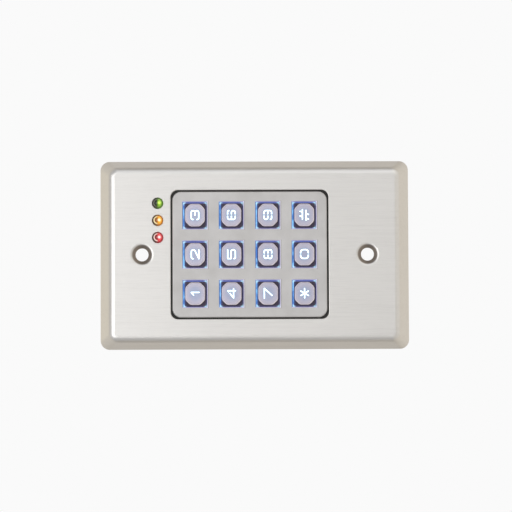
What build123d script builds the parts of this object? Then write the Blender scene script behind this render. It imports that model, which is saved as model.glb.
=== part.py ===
from build123d import *
import math
import os

# Keypad access reader: a single-gang stainless wall plate that carries a die-cast,
# back-lit twelve-key keypad, three status lamps and the electronics behind them.
#
# Frame, in millimetres: +X right and +Z up as a user sees the front, +Y into the wall.
# The origin is the middle of the wall plane that the plate's rim stands on, so every
# "height" below is a distance out of the wall, along -Y, and heights in the wall box
# are negative. A plane from facing() looks out of the wall, with X to its right.

os.makedirs("parts", exist_ok=True)

# ---- Wall plate: standard single gang ----
plate_width = 69.85
plate_height = 114.3
plate_depth = 5.5
plate_corner = 3.4
sheet = 1.0
side_lean = 3.3
end_lean = 3.9
fold_radius = 2.9
front_corner = 3.2
edge_break = 0.3

# Screw holes, pressed into dimples
screw_spacing = 83.34
screw_hole = 4.8
dimple_mouth = 7.7
dimple_cone = 1.0
dimple_wall = 0.95
dimple_length = 1.7
dimple_roll = 1.5

# ---- Keypad module ----
module_side = 3.8
module_end = 3.975
module_corner = 3.2
module_up = 1.9
module_proud = 0.2
module_edge = 0.45
seal_gap = 0.6
cutout_corner = 2.65
web = 2.0
flange = 1.2
flange_side = 6.35
flange_end = 2.45
flange_corner = 3.0
body_side = 0.95
body_end = 1.15
body_corner = 2.0
body_back = -0.1

# ---- Keys: three columns by four rows ----
key_rows = (("1", "2", "3"), ("4", "5", "6"), ("7", "8", "9"), ("star", "0", "hash"))
column_pitch = 14.5
row_pitch = 13.45
aperture_width = 9.9
aperture_height = 8.8
aperture_corner = 0.4
aperture_chamfer = 0.25
pocket_gap = 0.3
pocket_corner = 0.6
key_travel = 0.9
key_proud = 1.2
cap_width = 8.35
cap_height = 7.25
cap_corner_cut = 1.85
cap_corner_round = 1.7
cap_chamfer = 0.34
cap_skin = 1.0
cap_wall = 0.85
key_gap = 0.48
base_thick = 0.6
lens_lip = 0.15
lens_flange = 0.9
lens_overlap = 0.6
key_rest_gap = 0.05
bond_gap = 0.03
lens_recess = 0.05

# ---- Legends, drawn as round-ended strokes cut right through the cap ----
legend_half_width = 1.62
legend_half_height = 1.4
legend_stroke = 0.5
legend_bend = 0.68
legend_wide_bend = 0.95
legend_bridge = 0.44

# ---- Seals and fixings of the keypad ----
seal_thick = 0.6
seal_sunk = 0.75
seal_fit = 0.05
stud_radius = 1.25
stud_to_edge = 2.6
stud_to_end = 11.0
nut_across = 5.0
nut_thick = 2.0
stud_beyond = 0.4
foam_depth = 3.0
foam_side = 3.55
foam_end = 3.9

# ---- Key mat and keypad board ----
mat_side = 0.85
mat_end = 0.925
mat_thick = 0.8
mat_clearance = 0.3
dome_base = 3.5
dome_top = 2.2
dome_skin = 0.5
pill_radius = 1.5
pill_clearance = 0.05
pad_radius = 2.0
pad_thick = 0.035
board_thick = 1.6
board_inset = 0.2
backlight_offset = 4.35
backlight_length = 1.6
backlight_width = 0.8
backlight_thick = 0.6
pocket_margin = 0.3
web_screw_radius = 0.75
web_screw_grip = 1.9
web_screw_head = 1.5
web_screw_cap = 1.1
thread_gap = 0.02
hole_gap = 0.2

# ---- Status lamps: 3 mm lamps on a quarter-inch pitch ----
lamp_pitch = 6.35
lamp_hole = 4.0
lamp_radius = 1.5
lamp_rim_radius = 1.9
lamp_rim = 0.9
lamp_barrel = 1.5
lamp_rim_sunk = 0.4
lamp_hole_break = 0.2
holder_end = 2.75
holder_half_height = 2.5
holder_corner = 0.6
holder_to_plate = 0.3
holder_to_flange = 0.48
lead_size = 0.5
lead_spacing = 2.54
lead_beyond = 0.9
tongue_beyond = 0.4

# ---- Control board, its standoffs and what it carries ----
board_spacing = 8.0
post_inset_x = 1.7
post_inset_z = 1.8
post_across = 4.0
post_stud = 0.8
post_stud_grip = 2.4
post_bore_depth = 4.0
post_screw_radius = 0.8
post_screw_grip = 2.6
post_screw_head = 1.8
post_screw_cap = 1.3

header_pins = 12
header_pitch = 2.54
header_to_end = 3.1
header_strip = 2.5
header_width = 2.5
socket_length = 5.2
socket_bore = 0.45
pin_size = 0.64
pin_into_socket = 4.0
pin_beyond = 1.7

terminal_ways = 10
terminal_pitch = 3.5
terminal_depth = 7.6
terminal_tall = 8.8
terminal_end = 0.6
terminal_to_end = 5.5
terminal_mouth = 2.7
terminal_mouth_height = 2.6
terminal_well = 1.5
terminal_cage = 0.35
terminal_screw_radius = 1.3
terminal_screw_shank = 0.9

relay_x, relay_z = 12.2, 10.2
relay_width, relay_height, relay_depth = 15.4, 19.2, 15.3
relay_edge = 0.9

chip_x, chip_z = -8.2, 2.6
chip_size, chip_thick, chip_clear = 10.0, 1.4, 0.1
chip_pins, chip_pin_pitch, chip_pin_width = 11, 0.8, 0.34
chip_pin_reach, chip_pin_thick = 1.0, 0.16

buzzer_x, buzzer_z, buzzer_radius, buzzer_depth = -13.4, 18.0, 6.0, 6.6
buzzer_port, buzzer_port_depth = 1.2, 1.5
capacitors = ((-17.6, -13.2, 3.15, 7.2), (-9.9, -13.6, 4.0, 9.0))
regulator_x, regulator_z = 2.2, -12.2
crystal_x, crystal_z = -19.6, 1.6
diodes = ((9.2, -7.0), (14.2, -7.0), (19.2, -7.0))
diode_width, diode_length, diode_thick = 2.6, 4.3, 2.2
resistor_length, resistor_width, resistor_thick = 2.0, 1.25, 0.5
resistor_row_x, resistor_row_z, resistor_pitch, resistor_count = 9.6, -12.0, 2.3, 6
resistor_bank_x, resistor_bank_z, resistor_bank_pitch, resistor_bank_count = -0.6, -3.2, 2.3, 6

# ---- Sizes that follow from the keys' layout ----
columns, rows = len(key_rows[0]), len(key_rows)
keys_width = (columns - 1) * column_pitch + aperture_width
keys_height = (rows - 1) * row_pitch + aperture_height
module_width = keys_width + 2 * module_side
module_height = keys_height + 2 * module_end
flange_width = module_width + 2 * flange_side
flange_height = module_height + 2 * flange_end
body_width = module_width + 2 * body_side
body_height = module_height + 2 * body_end
lens_width = aperture_width + 2 * lens_overlap
lens_height = aperture_height + 2 * lens_overlap
pocket_width = lens_width + 2 * pocket_gap
pocket_height = lens_height + 2 * pocket_gap
mat_width = keys_width + pocket_width - aperture_width + 2 * mat_side
mat_height = keys_height + pocket_height - aperture_height + 2 * mat_end
base_width = aperture_width - 2 * key_gap
base_height = aperture_height - 2 * key_gap
board_width = body_width - 2 * board_inset
board_height = body_height - 2 * board_inset
post_x = body_width / 2 - post_inset_x
post_z = body_height / 2 - post_inset_z
stud_x = flange_width / 2 - stud_to_edge
stud_z = flange_height / 2 - stud_to_end
lamp_up = module_up + flange_height / 2 + holder_to_flange + holder_half_height
tongue_top = lamp_up + holder_half_height + tongue_beyond

# ---- Heights that follow from the sizes above ----
plate_back = plate_depth - sheet
module_front = plate_depth + module_proud
web_back = module_front - web
flange_front = plate_back - seal_thick
flange_back = flange_front - flange
ribs_back = body_back + mat_thick
key_front = module_front + key_proud
lens_front = web_back - key_rest_gap
lens_back = lens_front - lens_flange
base_front = module_front - base_thick
base_back = base_front - base_thick
board_front = body_back
board_back = board_front - board_thick
control_front = board_back - board_spacing
control_back = control_front - board_thick
lamp_rim_front = plate_depth - lamp_rim_sunk
lamp_rim_back = min(lamp_rim_front - lamp_rim, plate_back - holder_to_plate)
holder_front = lamp_rim_back


def facing(height, x=0.0, z=0.0):
    """A plane that looks out of the wall at a height in front of it, centred on (x, z)."""
    return Plane(origin=(x, -height, z), x_dir=(1, 0, 0), z_dir=(0, -1, 0))


def save(piece, label):
    """Labels a finished piece and writes it to its own STEP file."""
    piece.part.label = label
    export_step(piece.part, f"parts/{label}.step")


def front_edges(builder):
    """The outer edges of the face that is nearest the user."""
    return builder.faces().sort_by(Axis.Y)[0].outer_wire().edges()


# ---- Where the keys and the fixings are ----
key_places = {
    symbol: (
        (column - (columns - 1) / 2) * column_pitch,
        module_up + ((rows - 1) / 2 - line) * row_pitch,
    )
    for line, row in enumerate(key_rows)
    for column, symbol in enumerate(row)
}
rib_crossings = [
    ((column - 0.5) * column_pitch, module_up + line * row_pitch)
    for line in (-1, 0, 1)
    for column in (0, 1)
]
post_places = [(i * post_x, module_up + k * post_z) for i in (-1, 1) for k in (-1, 1)]
stud_places = [(i * stud_x, module_up + k * stud_z) for i in (-1, 1) for k in (-1, 1)]
lamp_places = {"led_red": lamp_pitch, "led_amber": 2 * lamp_pitch, "led_green": 3 * lamp_pitch}


# ---- Wall plate ----
def pan_outline(height, wall):
    """The pressed pan's outline at a height, moved in by a sheet thickness where asked."""
    share = height / plate_depth
    side = side_lean * share + wall * math.hypot(1, side_lean / plate_depth)
    end = end_lean * share + wall * math.hypot(1, end_lean / plate_depth)
    corner = plate_corner + (front_corner - plate_corner) * share - wall / 2
    with BuildSketch(facing(height)) as outline:
        RectangleRounded(plate_width - 2 * side, plate_height - 2 * end, corner)
    return outline.sketch


def dimple(hole_z, grow):
    """A dimple's profile turned about its screw axis: the cone and neck, grown by a wall."""
    mouth, neck = dimple_mouth / 2 + grow, screw_hole / 2 + grow
    cone_end = plate_depth - dimple_cone
    neck_end = plate_depth - dimple_length
    with BuildPart() as turned:
        with BuildSketch(Plane.XY.offset(hole_z)):
            with BuildLine():
                Polyline(
                    (0, -plate_depth),
                    (mouth, -plate_depth),
                    (neck, -cone_end),
                    (neck, -neck_end),
                    (0, -neck_end),
                    close=True,
                )
            make_face()
        revolve(axis=Axis((0, 0, hole_z), (0, 1, 0)))
    return turned.part


screw_heights = (-screw_spacing / 2, screw_spacing / 2)

with BuildPart() as pan_hollow:
    loft([pan_outline(0, sheet), pan_outline(plate_back, sheet)])
    fillet(front_edges(pan_hollow), fold_radius - sheet)

with BuildPart() as faceplate:
    loft([pan_outline(0, 0), pan_outline(plate_depth, 0)])
    fillet(front_edges(faceplate), fold_radius)
    add(pan_hollow.part, mode=Mode.SUBTRACT)
    for hole_z in screw_heights:
        add(dimple(hole_z, dimple_wall))
    for hole_z in screw_heights:
        add(dimple(hole_z, 0), mode=Mode.SUBTRACT)
    with BuildSketch(facing(plate_depth, 0, module_up)):
        RectangleRounded(
            module_width + 2 * seal_gap, module_height + 2 * seal_gap, cutout_corner
        )
    extrude(amount=-plate_depth, mode=Mode.SUBTRACT)
    with BuildSketch(facing(plate_depth)):
        with Locations([(x, lamp_up) for x in lamp_places.values()]):
            Circle(lamp_hole / 2)
    extrude(amount=-plate_depth, mode=Mode.SUBTRACT)
    openings = faceplate.faces().sort_by(Axis.Y)[0].inner_wires()
    mouths = [w for w in openings if abs(abs(w.center().Z) - screw_spacing / 2) < sheet]
    lamps = [w for w in openings if abs(w.center().Z - lamp_up) < sheet and w not in mouths]
    cutout = [w for w in openings if w not in mouths and w not in lamps]
    fillet([e for w in mouths for e in w.edges()], dimple_roll)
    fillet([e for w in lamps for e in w.edges()], lamp_hole_break)
    fillet([e for w in cutout for e in w.edges()], edge_break)
save(faceplate, "faceplate")

with BuildPart() as plate_studs:
    with BuildSketch(facing(plate_back)):
        with Locations(stud_places):
            Circle(stud_radius)
    extrude(amount=-(seal_thick + flange + nut_thick + stud_beyond))
    chamfer(plate_studs.faces().group_by(Axis.Y)[-1].edges(), stud_beyond / 2)
save(plate_studs, "plate_studs")

with BuildPart() as frame_nuts:
    with BuildSketch(facing(flange_back)):
        with Locations(stud_places):
            RegularPolygon(nut_across / 2, 6, major_radius=False, rotation=30)
            Circle(stud_radius + thread_gap, mode=Mode.SUBTRACT)
    extrude(amount=-nut_thick)
save(frame_nuts, "frame_nuts")

with BuildPart() as wall_seal:
    loft([pan_outline(0, sheet), pan_outline(foam_depth, sheet)])
    with BuildSketch(facing(foam_depth)):
        RectangleRounded(
            plate_width - 2 * (sheet + foam_side),
            plate_height - 2 * (sheet + foam_end),
            plate_corner,
        )
    extrude(amount=-foam_depth, mode=Mode.SUBTRACT)
save(wall_seal, "wall_seal")


# ---- Keypad frame and its seal ----
with BuildPart() as keypad_seal:
    with BuildSketch(facing(flange_front, 0, module_up)):
        RectangleRounded(flange_width, flange_height, flange_corner)
        with Locations([(x, z - module_up) for x, z in stud_places]):
            Circle(stud_radius + hole_gap, mode=Mode.SUBTRACT)
    extrude(amount=seal_thick)
    with BuildSketch(facing(plate_back, 0, module_up)):
        RectangleRounded(
            module_width + 2 * (seal_gap - seal_fit),
            module_height + 2 * (seal_gap - seal_fit),
            cutout_corner,
        )
    extrude(amount=sheet - seal_sunk)
    with BuildSketch(facing(flange_front, 0, module_up)):
        RectangleRounded(
            module_width + 2 * seal_fit, module_height + 2 * seal_fit, module_corner
        )
    extrude(amount=seal_thick + sheet, mode=Mode.SUBTRACT)
save(keypad_seal, "keypad_seal")

with BuildPart() as keypad_frame:
    with BuildSketch(facing(flange_front, 0, module_up)):
        RectangleRounded(module_width, module_height, module_corner)
    extrude(amount=module_front - flange_front)
    fillet(front_edges(keypad_frame), module_edge)
    with BuildSketch(facing(flange_back, 0, module_up)):
        RectangleRounded(flange_width, flange_height, flange_corner)
    extrude(amount=flange)
    with BuildSketch(facing(body_back, 0, module_up)):
        RectangleRounded(body_width, body_height, body_corner)
    extrude(amount=flange_back - body_back)
    with BuildSketch(facing(module_front)):
        with Locations(list(key_places.values())):
            RectangleRounded(aperture_width, aperture_height, aperture_corner)
    extrude(amount=-web, mode=Mode.SUBTRACT)
    mouths = keypad_frame.faces().sort_by(Axis.Y)[0].inner_wires()
    chamfer([e for w in mouths for e in w.edges()], aperture_chamfer)
    with BuildSketch(facing(web_back)):
        with Locations(list(key_places.values())):
            RectangleRounded(pocket_width, pocket_height, pocket_corner)
    extrude(amount=ribs_back - web_back, mode=Mode.SUBTRACT)
    with BuildSketch(facing(ribs_back, 0, module_up)):
        RectangleRounded(
            mat_width + 2 * mat_clearance, mat_height + 2 * mat_clearance, pocket_corner
        )
    extrude(amount=-mat_thick, mode=Mode.SUBTRACT)
    with BuildSketch(facing(flange_front)):
        with Locations(stud_places):
            Circle(stud_radius + hole_gap)
    extrude(amount=-flange, mode=Mode.SUBTRACT)
    with BuildSketch(facing(body_back)):
        with Locations(post_places):
            Circle(post_stud + thread_gap)
    extrude(amount=post_stud_grip + hole_gap, mode=Mode.SUBTRACT)
    with BuildSketch(facing(ribs_back)):
        with Locations(rib_crossings):
            Circle(web_screw_radius + thread_gap)
    extrude(amount=web_screw_grip + hole_gap, mode=Mode.SUBTRACT)
save(keypad_frame, "keypad_frame")


# ---- Legends ----
# Each stroke is a list of points, in shares of the legend's half width and half height,
# and the bend radius at each inner point. A bridge is (x, z, turn in degrees).
bend = legend_bend
wide = legend_wide_bend
tight = legend_bend * 0.75
legend_strokes = {
    "0": [([(0, 1), (-1, 1), (-1, -1), (0, -1)], [wide, wide]),
          ([(0, 1), (1, 1), (1, -1), (0, -1)], [wide, wide])],
    "1": [([(-0.35, 0.42), (0.28, 1.02), (0.28, -1.02)], [0])],
    "2": [([(-1, 0.5), (-1, 1), (1, 1), (1, 0.1), (-1, -1), (1, -1)], [bend, bend, tight, 0])],
    "3": [([(-1, 0.5), (-1, 1), (1, 1), (1, 0), (0, 0)], [bend, bend, bend]),
          ([(-1, -0.5), (-1, -1), (1, -1), (1, 0), (0, 0)], [bend, bend, bend])],
    "4": [([(-1, -0.5), (1.08, -0.5)], []),
          ([(-1, -0.5), (0.62, 1), (0.62, -1.02)], [0])],
    "5": [([(1, 1), (-1, 1), (-1, 0.15), (1, 0.15), (1, -1), (-1, -1), (-1, -0.62)],
           [0, 0, bend, bend, tight])],
    "6": [([(1, 0.66), (1, 1), (-1, 1), (-1, -1), (1, -1), (1, 0), (-1, 0)],
           [tight * 0.9, bend, bend, bend, bend])],
    "7": [([(-1.08, 1), (1.12, 1), (-0.45, -1)], [0])],
    "8": [([(0, 1), (side * 0.96, 1), (side * 0.96, 0), (0, 0)], [bend, bend])
          for side in (-1, 1)]
         + [([(0, 0), (side, 0), (side, -1), (0, -1)], [bend, bend]) for side in (-1, 1)],
    "star": [([(-1.05, 0), (1.05, 0)], []),
             ([(-0.5, -1), (0.5, 1)], []),
             ([(-0.5, 1), (0.5, -1)], [])],
    "hash": [([(-1.02, 0.47), (1.2, 0.47)], []),
             ([(-1.2, -0.47), (1.02, -0.47)], []),
             ([(0.64, 0.47), (0.8, 1.12)], []),
             ([(-0.42, 0.47), (-0.26, 1.12)], []),
             ([(0.26, -0.47), (0.1, -1.12)], []),
             ([(-0.8, -0.47), (-0.96, -1.12)], [])],
}
legend_strokes["9"] = [
    ([(-x, -z) for x, z in points], radii) for points, radii in legend_strokes["6"]
]
legend_bridges = {symbol: (0, 0, 0) for symbol in ("0", "6", "8", "9")}
legend_bridges["4"] = (0.2, 0.62, 45)


def draw_legend(symbol, shrink):
    """Draws a legend in the open sketch, its strokes narrowed all round by a clearance."""
    stroke = legend_stroke - 2 * shrink
    for points, radii in legend_strokes[symbol]:
        corners = [(x * legend_half_width, z * legend_half_height) for x, z in points]
        with BuildLine(mode=Mode.PRIVATE) as middle:
            if radii:
                FilletPolyline(*corners, radius=radii)
            else:
                Line(*corners)
        for edge in middle.edges():
            if edge.geom_type == GeomType.LINE:
                SlotCenterPoint(edge @ 0.5, edge @ 1, stroke)
            else:
                SlotArc(edge, stroke)
    if symbol in legend_bridges:
        x, z, turn = legend_bridges[symbol]
        length = 4 * legend_half_height if turn == 0 else 2 * legend_stroke
        with Locations((x * legend_half_width, z * legend_half_height)):
            Rectangle(
                legend_bridge + 2 * shrink, length, rotation=turn, mode=Mode.SUBTRACT
            )


def draw_cap_outline(inset):
    """Draws the cap's eight-sided outline with rounded corners in the open sketch."""
    half_width, half_height = cap_width / 2 - inset, cap_height / 2 - inset
    cut = cap_corner_cut - inset * (2 - math.sqrt(2))
    points = [
        (i * x, k * z)
        for i, k, pair in (
            (1, 1, ((half_width, half_height - cut), (half_width - cut, half_height))),
            (-1, 1, ((half_width - cut, half_height), (half_width, half_height - cut))),
            (-1, -1, ((half_width, half_height - cut), (half_width - cut, half_height))),
            (1, -1, ((half_width - cut, half_height), (half_width, half_height - cut))),
        )
        for x, z in pair
    ]
    with BuildLine(mode=Mode.PRIVATE) as outline:
        FilletPolyline(*points, radius=max(cap_corner_round - inset, 0.2), close=True)
    make_face(outline.edges())


# ---- Key caps and their lenses ----
def key_cap(symbol):
    """A metal cap: eight-sided top on a plain base, hollow behind, its legend cut through."""
    x, z = key_places[symbol]
    with BuildPart() as cap:
        with BuildSketch(facing(base_back, x, z)):
            draw_cap_outline(0)
        extrude(amount=key_front - base_back)
        chamfer(front_edges(cap), cap_chamfer)
        with BuildSketch(facing(base_back, x, z)):
            RectangleRounded(base_width, base_height, aperture_corner)
        extrude(amount=base_thick)
        with BuildSketch(facing(base_back, x, z)):
            draw_cap_outline(cap_wall)
        extrude(amount=key_front - cap_skin - base_back, mode=Mode.SUBTRACT)
        with BuildSketch(facing(key_front, x, z)):
            draw_legend(symbol, 0)
        extrude(amount=-cap_skin, mode=Mode.SUBTRACT)
    return cap


def key_lens(symbol):
    """A translucent core: flange behind the frame, skirt, boss in the cap and the legend."""
    x, z = key_places[symbol]
    with BuildPart() as lens:
        with BuildSketch(facing(lens_back, x, z)):
            RectangleRounded(lens_width, lens_height, aperture_corner)
        extrude(amount=lens_flange)
        with BuildSketch(facing(lens_front, x, z)):
            RectangleRounded(
                base_width + 2 * lens_lip, base_height + 2 * lens_lip, aperture_corner
            )
        extrude(amount=base_back - bond_gap - lens_front)
        with BuildSketch(facing(base_back - bond_gap, x, z)):
            draw_cap_outline(cap_wall + bond_gap)
        extrude(amount=key_front - cap_skin - base_back)
        with BuildSketch(facing(key_front - lens_recess, x, z)):
            draw_legend(symbol, bond_gap)
        extrude(amount=-(cap_skin + bond_gap - lens_recess))
    return lens


for symbol in key_places:
    save(key_cap(symbol), f"key_cap_{symbol}")
    save(key_lens(symbol), f"key_lens_{symbol}")


# ---- Key mat: one silicone sheet with a hollow dome and a carbon pill under each key ----
with BuildPart() as key_mat:
    with BuildSketch(facing(body_back, 0, module_up)):
        RectangleRounded(mat_width, mat_height, pocket_corner)
    extrude(amount=mat_thick)
    dome_front = lens_back - key_rest_gap
    for x, z in key_places.values():
        with BuildSketch(facing(ribs_back, x, z)):
            Circle(dome_base)
        with BuildSketch(facing(dome_front, x, z)):
            Circle(dome_top)
        loft()
    for x, z in key_places.values():
        with BuildSketch(facing(body_back, x, z)):
            Circle(dome_base - dome_skin)
        with BuildSketch(facing(dome_front - 2 * dome_skin, x, z)):
            Circle(dome_top - dome_skin)
        loft(mode=Mode.SUBTRACT)
        with BuildSketch(facing(body_back + key_travel + pill_clearance, x, z)):
            Circle(pill_radius)
        extrude(amount=dome_front - dome_skin - body_back - key_travel - pill_clearance)
    with BuildSketch(facing(body_back)):
        with Locations([(x, z + backlight_offset) for x, z in key_places.values()]):
            Rectangle(
                backlight_length + 2 * pocket_margin, backlight_width + 2 * pocket_margin
            )
        with Locations(rib_crossings):
            Circle(web_screw_radius + hole_gap)
    extrude(amount=mat_thick, mode=Mode.SUBTRACT)
save(key_mat, "key_mat")


# ---- Keypad board, with a tongue up to the status lamps ----
lead_places = [
    (x + side * lead_spacing / 2, lamp_up) for x in lamp_places.values() for side in (-1, 1)
]
tongue_left = lamp_places["led_red"] - holder_end
tongue_right = lamp_places["led_green"] + holder_end
header_z = module_up + board_height / 2 - header_to_end
pin_places = [
    ((i - (header_pins - 1) / 2) * header_pitch, header_z) for i in range(header_pins)
]

with BuildPart() as keypad_board:
    with BuildSketch(facing(board_front)):
        with Locations((0, module_up)):
            RectangleRounded(board_width, board_height, body_corner)
        with Locations(((tongue_left + tongue_right) / 2, (module_up + tongue_top) / 2)):
            Rectangle(tongue_right - tongue_left, tongue_top - module_up)
        with Locations(post_places):
            Circle(post_stud + hole_gap, mode=Mode.SUBTRACT)
        with Locations(rib_crossings):
            Circle(web_screw_radius + hole_gap, mode=Mode.SUBTRACT)
        with Locations(lead_places):
            Circle(lead_size / 2 + hole_gap, mode=Mode.SUBTRACT)
    extrude(amount=-board_thick)
save(keypad_board, "keypad_board")

with BuildPart() as contact_pads:
    with BuildSketch(facing(board_front)):
        with Locations(list(key_places.values())):
            Circle(pad_radius)
            Rectangle(2 * hole_gap, 2 * pad_radius, mode=Mode.SUBTRACT)
    extrude(amount=pad_thick)
save(contact_pads, "contact_pads")

with BuildPart() as backlights:
    with BuildSketch(facing(board_front)):
        with Locations([(x, z + backlight_offset) for x, z in key_places.values()]):
            Rectangle(backlight_length, backlight_width)
    extrude(amount=backlight_thick)
save(backlights, "backlights")


def cross_head_screws(places, seat, head, cap, shank, length):
    """Round-headed screws that are driven from the wall side, each with a cross recess."""
    with BuildPart() as screws:
        with BuildSketch(facing(seat)):
            with Locations(places):
                Circle(head)
        extrude(amount=-cap)
        fillet(screws.faces().group_by(Axis.Y)[-1].edges(), cap * 0.45)
        with BuildSketch(facing(seat)):
            with Locations(places):
                Circle(shank)
        extrude(amount=length)
        with BuildSketch(facing(seat - cap)):
            with Locations(places):
                Rectangle(head * 1.1, head * 0.22)
                Rectangle(head * 0.22, head * 1.1)
        extrude(amount=cap * 0.55, mode=Mode.SUBTRACT)
    return screws


web_screw_length = board_thick + mat_thick + web_screw_grip
save(
    cross_head_screws(
        rib_crossings, board_back, web_screw_head, web_screw_cap, web_screw_radius,
        web_screw_length,
    ),
    "web_screws",
)


# ---- Status lamps ----
def status_lamp(x):
    """A 3 mm lamp: rim behind the plate's front, barrel and domed tip."""
    with BuildPart() as lamp:
        with BuildSketch(facing(lamp_rim_back, x, lamp_up)):
            Circle(lamp_rim_radius)
        extrude(amount=lamp_rim)
        with BuildSketch(facing(lamp_rim_front, x, lamp_up)):
            Circle(lamp_radius)
        extrude(amount=lamp_barrel)
        with Locations((x, -lamp_rim_front - lamp_barrel, lamp_up)):
            Sphere(lamp_radius)
    return lamp


for label, x in lamp_places.items():
    save(status_lamp(x), label)

with BuildPart() as lamp_leads:
    with BuildSketch(facing(lamp_rim_back)):
        with Locations(lead_places):
            Rectangle(lead_size, lead_size)
    extrude(amount=-(lamp_rim_back - board_back + lead_beyond))
save(lamp_leads, "lamp_leads")

with BuildPart() as lamp_holder:
    with BuildSketch(facing(board_front, 2 * lamp_pitch, lamp_up)):
        RectangleRounded(
            2 * (lamp_pitch + holder_end), 2 * holder_half_height, holder_corner
        )
        with Locations([(x - 2 * lamp_pitch, 0) for x, _ in lead_places]):
            Rectangle(lead_size + hole_gap, lead_size + hole_gap, mode=Mode.SUBTRACT)
    extrude(amount=holder_front - board_front)
save(lamp_holder, "lamp_holder")


# ---- Standoffs and control board ----
with BuildPart() as standoffs:
    with BuildSketch(facing(board_back)):
        with Locations(post_places):
            RegularPolygon(post_across / 2, 6, major_radius=False)
    extrude(amount=-board_spacing)
    with BuildSketch(facing(board_back)):
        with Locations(post_places):
            Circle(post_stud)
    extrude(amount=board_thick + post_stud_grip)
    with BuildSketch(facing(control_front)):
        with Locations(post_places):
            Circle(post_screw_radius + thread_gap)
    extrude(amount=post_bore_depth, mode=Mode.SUBTRACT)
save(standoffs, "standoffs")

with BuildPart() as control_board:
    with BuildSketch(facing(control_front, 0, module_up)):
        RectangleRounded(board_width, board_height, body_corner)
        with Locations([(x, z - module_up) for x, z in post_places]):
            Circle(post_screw_radius + hole_gap, mode=Mode.SUBTRACT)
        with Locations([(x, z - module_up) for x, z in pin_places]):
            Rectangle(pin_size + hole_gap, pin_size + hole_gap, mode=Mode.SUBTRACT)
    extrude(amount=-board_thick)
save(control_board, "control_board")

save(
    cross_head_screws(
        post_places, control_back, post_screw_head, post_screw_cap, post_screw_radius,
        board_thick + post_screw_grip,
    ),
    "control_board_screws",
)

header_length = header_pins * header_pitch

with BuildPart() as header_socket:
    with BuildSketch(facing(board_back, 0, header_z)):
        Rectangle(header_length, header_width)
    extrude(amount=-socket_length)
    with BuildSketch(facing(board_back - socket_length)):
        with Locations(pin_places):
            Rectangle(2 * socket_bore, 2 * socket_bore)
    extrude(amount=pin_into_socket + hole_gap, mode=Mode.SUBTRACT)
save(header_socket, "header_socket")

with BuildPart() as header_strip_body:
    with BuildSketch(facing(control_front, 0, header_z)):
        Rectangle(header_length, header_width)
        with Locations([(x, 0) for x, _ in pin_places]):
            Rectangle(pin_size, pin_size, mode=Mode.SUBTRACT)
    extrude(amount=header_strip)
    for i in range(1, header_pins):
        notch_x = (i - header_pins / 2) * header_pitch
        with BuildSketch(facing(control_front + header_strip, notch_x, header_z)):
            with Locations((0, header_width / 2), (0, -header_width / 2)):
                Rectangle(pin_size, pin_size)
        extrude(amount=-header_strip, mode=Mode.SUBTRACT)
save(header_strip_body, "header_strip")

with BuildPart() as header_pins_metal:
    with BuildSketch(facing(board_back - socket_length + pin_into_socket)):
        with Locations(pin_places):
            Rectangle(pin_size, pin_size)
    pin_length = pin_into_socket + board_spacing - socket_length + board_thick + pin_beyond
    extrude(amount=-pin_length)
save(header_pins_metal, "header_pins")


# ---- Terminal block: wires enter from below, screws face the wall box ----
terminal_length = terminal_ways * terminal_pitch + 2 * terminal_end
terminal_z = module_up - board_height / 2 + terminal_to_end
terminal_xs = [(i - (terminal_ways - 1) / 2) * terminal_pitch for i in range(terminal_ways)]
terminal_back = control_back - terminal_tall
mouth_middle = control_back - terminal_cage - terminal_mouth_height / 2 - terminal_end
underside = terminal_z - terminal_depth / 2
mouth_depth = terminal_depth - 2 * terminal_end
well_depth = terminal_tall - (control_back - mouth_middle) - terminal_mouth_height / 2


def looking_up(x, z):
    """A plane under the terminal block, centred on a wire mouth, that looks up along +Z."""
    return Plane(origin=(x, -mouth_middle, z), x_dir=(1, 0, 0), z_dir=(0, 0, 1))


with BuildPart() as terminal_block:
    with BuildSketch(facing(control_back, 0, terminal_z)):
        Rectangle(terminal_length, terminal_depth)
    extrude(amount=-terminal_tall)
    chamfer(
        terminal_block.faces().sort_by(Axis.Y)[-1].edges().filter_by(Axis.X), terminal_end
    )
    for x in terminal_xs:
        with BuildSketch(looking_up(x, underside)):
            Rectangle(terminal_mouth, terminal_mouth_height)
        extrude(amount=mouth_depth, mode=Mode.SUBTRACT)
        with BuildSketch(facing(terminal_back, x, terminal_z)):
            Circle(terminal_well)
        extrude(amount=well_depth, mode=Mode.SUBTRACT)
save(terminal_block, "terminal_block")

with BuildPart() as terminal_clamps:
    for x in terminal_xs:
        with BuildSketch(looking_up(x, underside + terminal_end)):
            Rectangle(terminal_mouth - 2 * seal_fit, terminal_mouth_height - 2 * seal_fit)
            Rectangle(
                terminal_mouth - 2 * (seal_fit + terminal_cage),
                terminal_mouth_height - 2 * (seal_fit + terminal_cage),
                mode=Mode.SUBTRACT,
            )
        extrude(amount=mouth_depth - 2 * terminal_end)
    with BuildSketch(facing(mouth_middle)):
        with Locations([(x, terminal_z) for x in terminal_xs]):
            Circle(terminal_screw_shank + thread_gap)
    extrude(amount=-terminal_mouth_height, mode=Mode.SUBTRACT)
save(terminal_clamps, "terminal_clamps")

screw_seat = mouth_middle - terminal_mouth_height / 2
screw_head_back = terminal_back + terminal_end
with BuildPart() as terminal_screws:
    with BuildSketch(facing(screw_seat)):
        with Locations([(x, terminal_z) for x in terminal_xs]):
            Circle(terminal_screw_radius)
    extrude(amount=screw_head_back - screw_seat)
    with BuildSketch(facing(screw_seat)):
        with Locations([(x, terminal_z) for x in terminal_xs]):
            Circle(terminal_screw_shank)
    extrude(amount=terminal_mouth_height / 2)
    with BuildSketch(facing(screw_head_back)):
        with Locations([(x, terminal_z) for x in terminal_xs]):
            Rectangle(2 * terminal_screw_radius, terminal_cage)
    extrude(amount=terminal_end, mode=Mode.SUBTRACT)
save(terminal_screws, "terminal_screws")


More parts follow.
